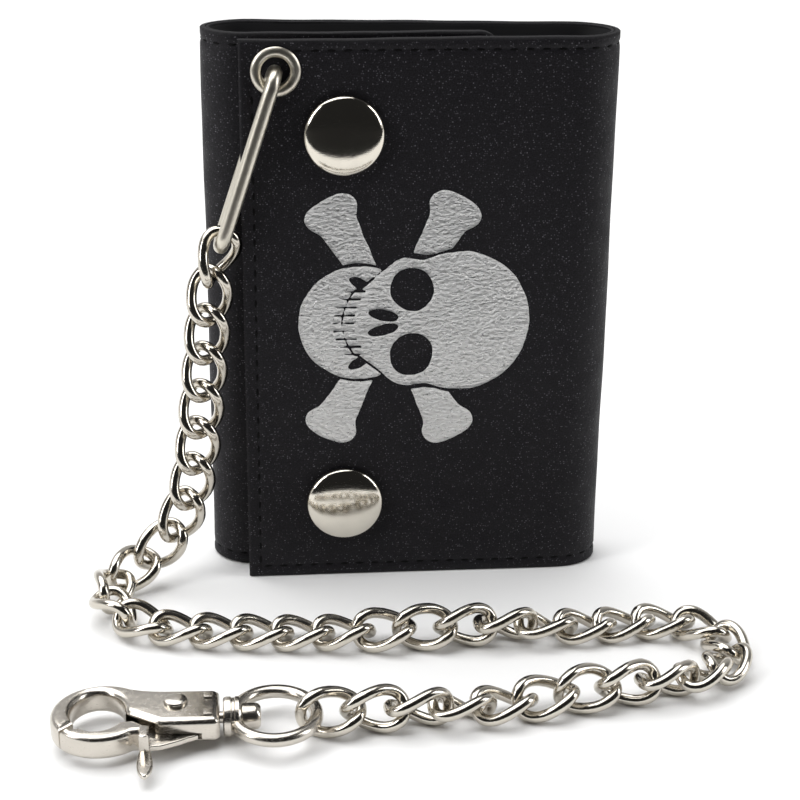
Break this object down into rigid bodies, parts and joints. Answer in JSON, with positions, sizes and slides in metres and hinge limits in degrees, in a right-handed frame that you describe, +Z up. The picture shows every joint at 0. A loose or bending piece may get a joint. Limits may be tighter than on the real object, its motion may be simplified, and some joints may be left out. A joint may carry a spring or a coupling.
{
  "type": "chain wallet",
  "caption": "Upright three-fold black leather wallet with two snaps, a grommet with a long loop, a curb-link safety chain and a swivel trigger clasp.",
  "frame": {"origin": "middle of the closed front flap on its lower edge, half way through the leather", "axes": "+Z up along the wallet, +X to the right across the front flap, -Y out of the front flap"},
  "size_m": [0.1268, 0.0922, 0.1084],
  "materials": {
    "shell_leather": "black grained leather with a soft sheen",
    "pocket_leather": "black smooth lining leather",
    "nickel": "polished nickel snap and eyelet",
    "chain_nickel": "polished nickel wire",
    "clasp_nickel": "polished cast nickel",
    "spring_steel": "spring steel strip"
  },
  "bodies": {
    "front_flap": {"front_flap": "shell_leather", "flap_pockets": "pocket_leather", "eyelet": "nickel", "snap_cap_upper": "nickel", "snap_cap_lower": "nickel", "snap_socket_upper": "nickel", "snap_socket_lower": "nickel"},
    "back_panel": {"back_panel": "shell_leather", "back_pockets": "pocket_leather", "bill_divider": "pocket_leather"},
    "inner_panel": {"inner_panel": "shell_leather", "inner_pockets": "pocket_leather", "snap_stud_upper": "nickel", "snap_stud_lower": "nickel"},
    "chain_loop": {"chain_loop": "chain_nickel"},
    "chain_link_01": {"chain_link_01": "chain_nickel"},
    "chain_link_02": {"chain_link_02": "chain_nickel"},
    "chain_link_03": {"chain_link_03": "chain_nickel"},
    "chain_link_04": {"chain_link_04": "chain_nickel"},
    "chain_link_05": {"chain_link_05": "chain_nickel"},
    "chain_link_06": {"chain_link_06": "chain_nickel"},
    "chain_link_07": {"chain_link_07": "chain_nickel"},
    "chain_link_08": {"chain_link_08": "chain_nickel"},
    "chain_link_09": {"chain_link_09": "chain_nickel"},
    "chain_link_10": {"chain_link_10": "chain_nickel"},
    "chain_link_11": {"chain_link_11": "chain_nickel"},
    "chain_link_12": {"chain_link_12": "chain_nickel"},
    "chain_link_13": {"chain_link_13": "chain_nickel"},
    "chain_link_14": {"chain_link_14": "chain_nickel"},
    "chain_link_15": {"chain_link_15": "chain_nickel"},
    "chain_link_16": {"chain_link_16": "chain_nickel"},
    "chain_link_17": {"chain_link_17": "chain_nickel"},
    "chain_link_18": {"chain_link_18": "chain_nickel"},
    "chain_link_19": {"chain_link_19": "chain_nickel"},
    "chain_link_20": {"chain_link_20": "chain_nickel"},
    "chain_link_21": {"chain_link_21": "chain_nickel"},
    "chain_link_22": {"chain_link_22": "chain_nickel"},
    "chain_link_23": {"chain_link_23": "chain_nickel"},
    "chain_link_24": {"chain_link_24": "chain_nickel"},
    "chain_link_25": {"chain_link_25": "chain_nickel"},
    "chain_link_26": {"chain_link_26": "chain_nickel"},
    "chain_link_27": {"chain_link_27": "chain_nickel"},
    "chain_link_28": {"chain_link_28": "chain_nickel"},
    "chain_link_29": {"chain_link_29": "chain_nickel"},
    "chain_link_30": {"chain_link_30": "chain_nickel"},
    "chain_link_31": {"chain_link_31": "chain_nickel"},
    "chain_link_32": {"chain_link_32": "chain_nickel"},
    "chain_link_33": {"chain_link_33": "chain_nickel"},
    "chain_link_34": {"chain_link_34": "chain_nickel"},
    "chain_link_35": {"chain_link_35": "chain_nickel"},
    "chain_link_36": {"chain_link_36": "chain_nickel"},
    "chain_link_37": {"chain_link_37": "chain_nickel"},
    "chain_link_38": {"chain_link_38": "chain_nickel"},
    "chain_link_39": {"chain_link_39": "chain_nickel"},
    "clasp_ring": {"clasp_ring": "clasp_nickel"},
    "clasp_body": {"clasp_body": "clasp_nickel", "clasp_swivel": "clasp_nickel", "clasp_rivet": "clasp_nickel", "clasp_spring": "spring_steel"},
    "clasp_lever": {"clasp_lever": "clasp_nickel"}
  },
  "joints": [
    {"name": "flap_fold", "type": "hinge", "parent": "front_flap", "child": "back_panel", "pos_m": [0.03665, 0.0064, 0], "axis": [0, 0, -1], "range_deg": [0, 180]},
    {"name": "inner_panel_fold", "type": "hinge", "parent": "back_panel", "child": "inner_panel", "pos_m": [-0.04165, 0.0122, 0], "axis": [0, 0, -1], "range_deg": [0, 82]},
    {"name": "chain_loop_swing", "type": "hinge", "parent": "front_flap", "child": "chain_loop", "pos_m": [-0.0278, 0, 0.1024], "axis": [0, 1, 0], "range_deg": [0, 120]},
    {"name": "clasp_lever_pull", "type": "hinge", "parent": "clasp_body", "child": "clasp_lever", "pos_m": [-0.04787, -0.05818, 0.00403], "axis": [0, 0, 1], "range_deg": [0, 22], "stiffness_Nm_per_rad": 0.02},
    {"name": "clasp_ring_tilt", "type": "hinge", "parent": "chain_link_39", "child": "clasp_ring", "pos_m": [-0.02377, -0.05978, 0.00403], "axis": [0, 1, 0], "range_deg": [-40, 40]},
    {"name": "clasp_swivel_turn", "type": "hinge", "parent": "clasp_ring", "child": "clasp_body", "pos_m": [-0.02377, -0.05978, 0.00403], "axis": [1, 0, 0], "continuous": true},
    {"name": "link_01_bend", "type": "hinge", "parent": "chain_loop", "child": "chain_link_01", "pos_m": [-0.03858, 0, 0.06942], "axis": [0, 1, 0], "range_deg": [-2, 30]},
    {"name": "link_02_bend", "type": "hinge", "parent": "chain_link_01", "child": "chain_link_02", "pos_m": [-0.04051, -0.0002, 0.06354], "axis": [0, -1, 0], "range_deg": [-30, 5]},
    {"name": "link_03_bend", "type": "hinge", "parent": "chain_link_02", "child": "chain_link_03", "pos_m": [-0.04121, -0.0006, 0.0559], "axis": [1, 0, 0], "range_deg": [-30, 12]},
    {"name": "link_04_bend", "type": "hinge", "parent": "chain_link_03", "child": "chain_link_04", "pos_m": [-0.04189, -0.00089, 0.04828], "axis": [0, -1, 0], "range_deg": [-30, 10]},
    {"name": "link_05_bend", "type": "hinge", "parent": "chain_link_04", "child": "chain_link_05", "pos_m": [-0.04263, -0.00115, 0.04072], "axis": [1, 0, 0], "range_deg": [-30, 30]},
    {"name": "link_06_bend", "type": "hinge", "parent": "chain_link_05", "child": "chain_link_06", "pos_m": [-0.04348, -0.0014, 0.03312], "axis": [0, -1, 0], "range_deg": [-30, 22]},
    {"name": "link_07_bend", "type": "hinge", "parent": "chain_link_06", "child": "chain_link_07", "pos_m": [-0.04446, -0.00153, 0.02549], "axis": [1, 0, 0], "range_deg": [-30, 30]},
    {"name": "link_08_bend", "type": "hinge", "parent": "chain_link_07", "child": "chain_link_08", "pos_m": [-0.04609, -0.00166, 0.01799], "axis": [0, -1, 0], "range_deg": [-30, 30]},
    {"name": "link_09_bend", "type": "hinge", "parent": "chain_link_08", "child": "chain_link_09", "pos_m": [-0.04914, -0.00185, 0.01101], "axis": [1, 0, 0], "range_deg": [-30, 25]},
    {"name": "link_10_bend", "type": "hinge", "parent": "chain_link_09", "child": "chain_link_10", "pos_m": [-0.05466, -0.00292, 0.00584], "axis": [-0.4592, 0.8884, 0], "range_deg": [-30, 2]},
    {"name": "link_11_bend", "type": "hinge", "parent": "chain_link_10", "child": "chain_link_11", "pos_m": [-0.06037, -0.00772, 0.00439], "axis": [0, 0, 1], "range_deg": [-30, 5]},
    {"name": "link_12_bend", "type": "hinge", "parent": "chain_link_11", "child": "chain_link_12", "pos_m": [-0.06201, -0.01514, 0.00412], "axis": [0.9887, 0.1498, 0], "range_deg": [-30, 30]},
    {"name": "link_13_bend", "type": "hinge", "parent": "chain_link_12", "child": "chain_link_13", "pos_m": [-0.05824, -0.02175, 0.00347], "axis": [0, 0, 1], "range_deg": [-30, 12]},
    {"name": "link_14_bend", "type": "hinge", "parent": "chain_link_13", "child": "chain_link_14", "pos_m": [-0.05155, -0.02543, 0.00282], "axis": [-0.3401, -0.9404, 0], "range_deg": [-30, 20]},
    {"name": "link_15_bend", "type": "hinge", "parent": "chain_link_14", "child": "chain_link_15", "pos_m": [-0.04405, -0.02688, 0.0027], "axis": [0, 0, 1], "range_deg": [-30, 15]},
    {"name": "link_16_bend", "type": "hinge", "parent": "chain_link_15", "child": "chain_link_16", "pos_m": [-0.03647, -0.02801, 0.0027], "axis": [-0.1302, -0.9915, 0], "range_deg": [-30, 30]},
    {"name": "link_17_bend", "type": "hinge", "parent": "chain_link_16", "child": "chain_link_17", "pos_m": [-0.02885, -0.02882, 0.00264], "axis": [0, 0, 1], "range_deg": [-30, 17]},
    {"name": "link_18_bend", "type": "hinge", "parent": "chain_link_17", "child": "chain_link_18", "pos_m": [-0.02123, -0.02964, 0.00286], "axis": [-0.1203, -0.9927, 0], "range_deg": [-30, 30]},
    {"name": "link_19_bend", "type": "hinge", "parent": "chain_link_18", "child": "chain_link_19", "pos_m": [-0.01366, -0.03064, 0.00355], "axis": [0, 0, 1], "range_deg": [-30, 25]},
    {"name": "link_20_bend", "type": "hinge", "parent": "chain_link_19", "child": "chain_link_20", "pos_m": [-0.00608, -0.03139, 0.00431], "axis": [-0.0797, -0.9968, 0], "range_deg": [-30, 30]},
    {"name": "link_21_bend", "type": "hinge", "parent": "chain_link_20", "child": "chain_link_21", "pos_m": [0.00153, -0.0318, 0.00459], "axis": [0, 0, -1], "range_deg": [-25, 22]},
    {"name": "link_22_bend", "type": "hinge", "parent": "chain_link_21", "child": "chain_link_22", "pos_m": [0.00914, -0.03149, 0.0046], "axis": [-0.04, 0.9992, 0], "range_deg": [-30, 30]},
    {"name": "link_23_bend", "type": "hinge", "parent": "chain_link_22", "child": "chain_link_23", "pos_m": [0.01677, -0.03117, 0.00423], "axis": [0, 0, 1], "range_deg": [-17, 30]},
    {"name": "link_24_bend", "type": "hinge", "parent": "chain_link_23", "child": "chain_link_24", "pos_m": [0.02432, -0.03081, 0.00309], "axis": [0.0698, -0.9976, 0], "range_deg": [-30, 30]},
    {"name": "link_25_bend", "type": "hinge", "parent": "chain_link_24", "child": "chain_link_25", "pos_m": [0.03189, -0.0301, 0.00268], "axis": [0, 0, 1], "range_deg": [-12, 30]},
    {"name": "link_26_bend", "type": "hinge", "parent": "chain_link_25", "child": "chain_link_26", "pos_m": [0.03951, -0.02922, 0.0027], "axis": [0.02, -0.9998, 0], "range_deg": [-30, 30]},
    {"name": "link_27_bend", "type": "hinge", "parent": "chain_link_26", "child": "chain_link_27", "pos_m": [0.04709, -0.02978, 0.0027], "axis": [0, 0, -1], "range_deg": [-30, 10]},
    {"name": "link_28_bend", "type": "hinge", "parent": "chain_link_27", "child": "chain_link_28", "pos_m": [0.05287, -0.03481, 0.00269], "axis": [-0.8884, -0.4592, 0], "range_deg": [-15, 12]},
    {"name": "link_29_bend", "type": "hinge", "parent": "chain_link_28", "child": "chain_link_29", "pos_m": [0.05366, -0.04239, 0.00273], "axis": [0, 0, 1], "range_deg": [-7, 30]},
    {"name": "link_30_bend", "type": "hinge", "parent": "chain_link_29", "child": "chain_link_30", "pos_m": [0.04958, -0.04883, 0.00325], "axis": [-0.6712, 0.7413, 0], "range_deg": [-30, 30]},
    {"name": "link_31_bend", "type": "hinge", "parent": "chain_link_30", "child": "chain_link_31", "pos_m": [0.04279, -0.05233, 0.00393], "axis": [0, 0, 1], "range_deg": [-10, 30]},
    {"name": "link_32_bend", "type": "hinge", "parent": "chain_link_31", "child": "chain_link_32", "pos_m": [0.03538, -0.054, 0.0045], "axis": [-0.1709, 0.9853, 0], "range_deg": [-30, 30]},
    {"name": "link_33_bend", "type": "hinge", "parent": "chain_link_32", "child": "chain_link_33", "pos_m": [0.02784, -0.05498, 0.00465], "axis": [0, 0, 1], "range_deg": [-12, 30]},
    {"name": "link_34_bend", "type": "hinge", "parent": "chain_link_33", "child": "chain_link_34", "pos_m": [0.02026, -0.05601, 0.00423], "axis": [0.14, -0.9901, 0], "range_deg": [-30, 30]},
    {"name": "link_35_bend", "type": "hinge", "parent": "chain_link_34", "child": "chain_link_35", "pos_m": [0.01279, -0.05718, 0.00337], "axis": [0, 0, 1], "range_deg": [-15, 30]},
    {"name": "link_36_bend", "type": "hinge", "parent": "chain_link_35", "child": "chain_link_36", "pos_m": [0.00527, -0.05833, 0.00335], "axis": [-0.1302, 0.9915, 0], "range_deg": [-30, 30]},
    {"name": "link_37_bend", "type": "hinge", "parent": "chain_link_36", "child": "chain_link_37", "pos_m": [-0.00226, -0.05919, 0.0042], "axis": [0, 0, 1], "range_deg": [-20, 30]},
    {"name": "link_38_bend", "type": "hinge", "parent": "chain_link_37", "child": "chain_link_38", "pos_m": [-0.00987, -0.05969, 0.0045], "axis": [-0.04, 0.9992, 0], "range_deg": [-30, 30]},
    {"name": "link_39_bend", "type": "hinge", "parent": "chain_link_38", "child": "chain_link_39", "pos_m": [-0.01753, -0.0598, 0.00458], "axis": [0, 0, 1], "range_deg": [-30, 30]}
  ],
  "couplings": [
    {"joint": "inner_panel_fold", "follows": "flap_fold", "ratio": 0.45}
  ]
}
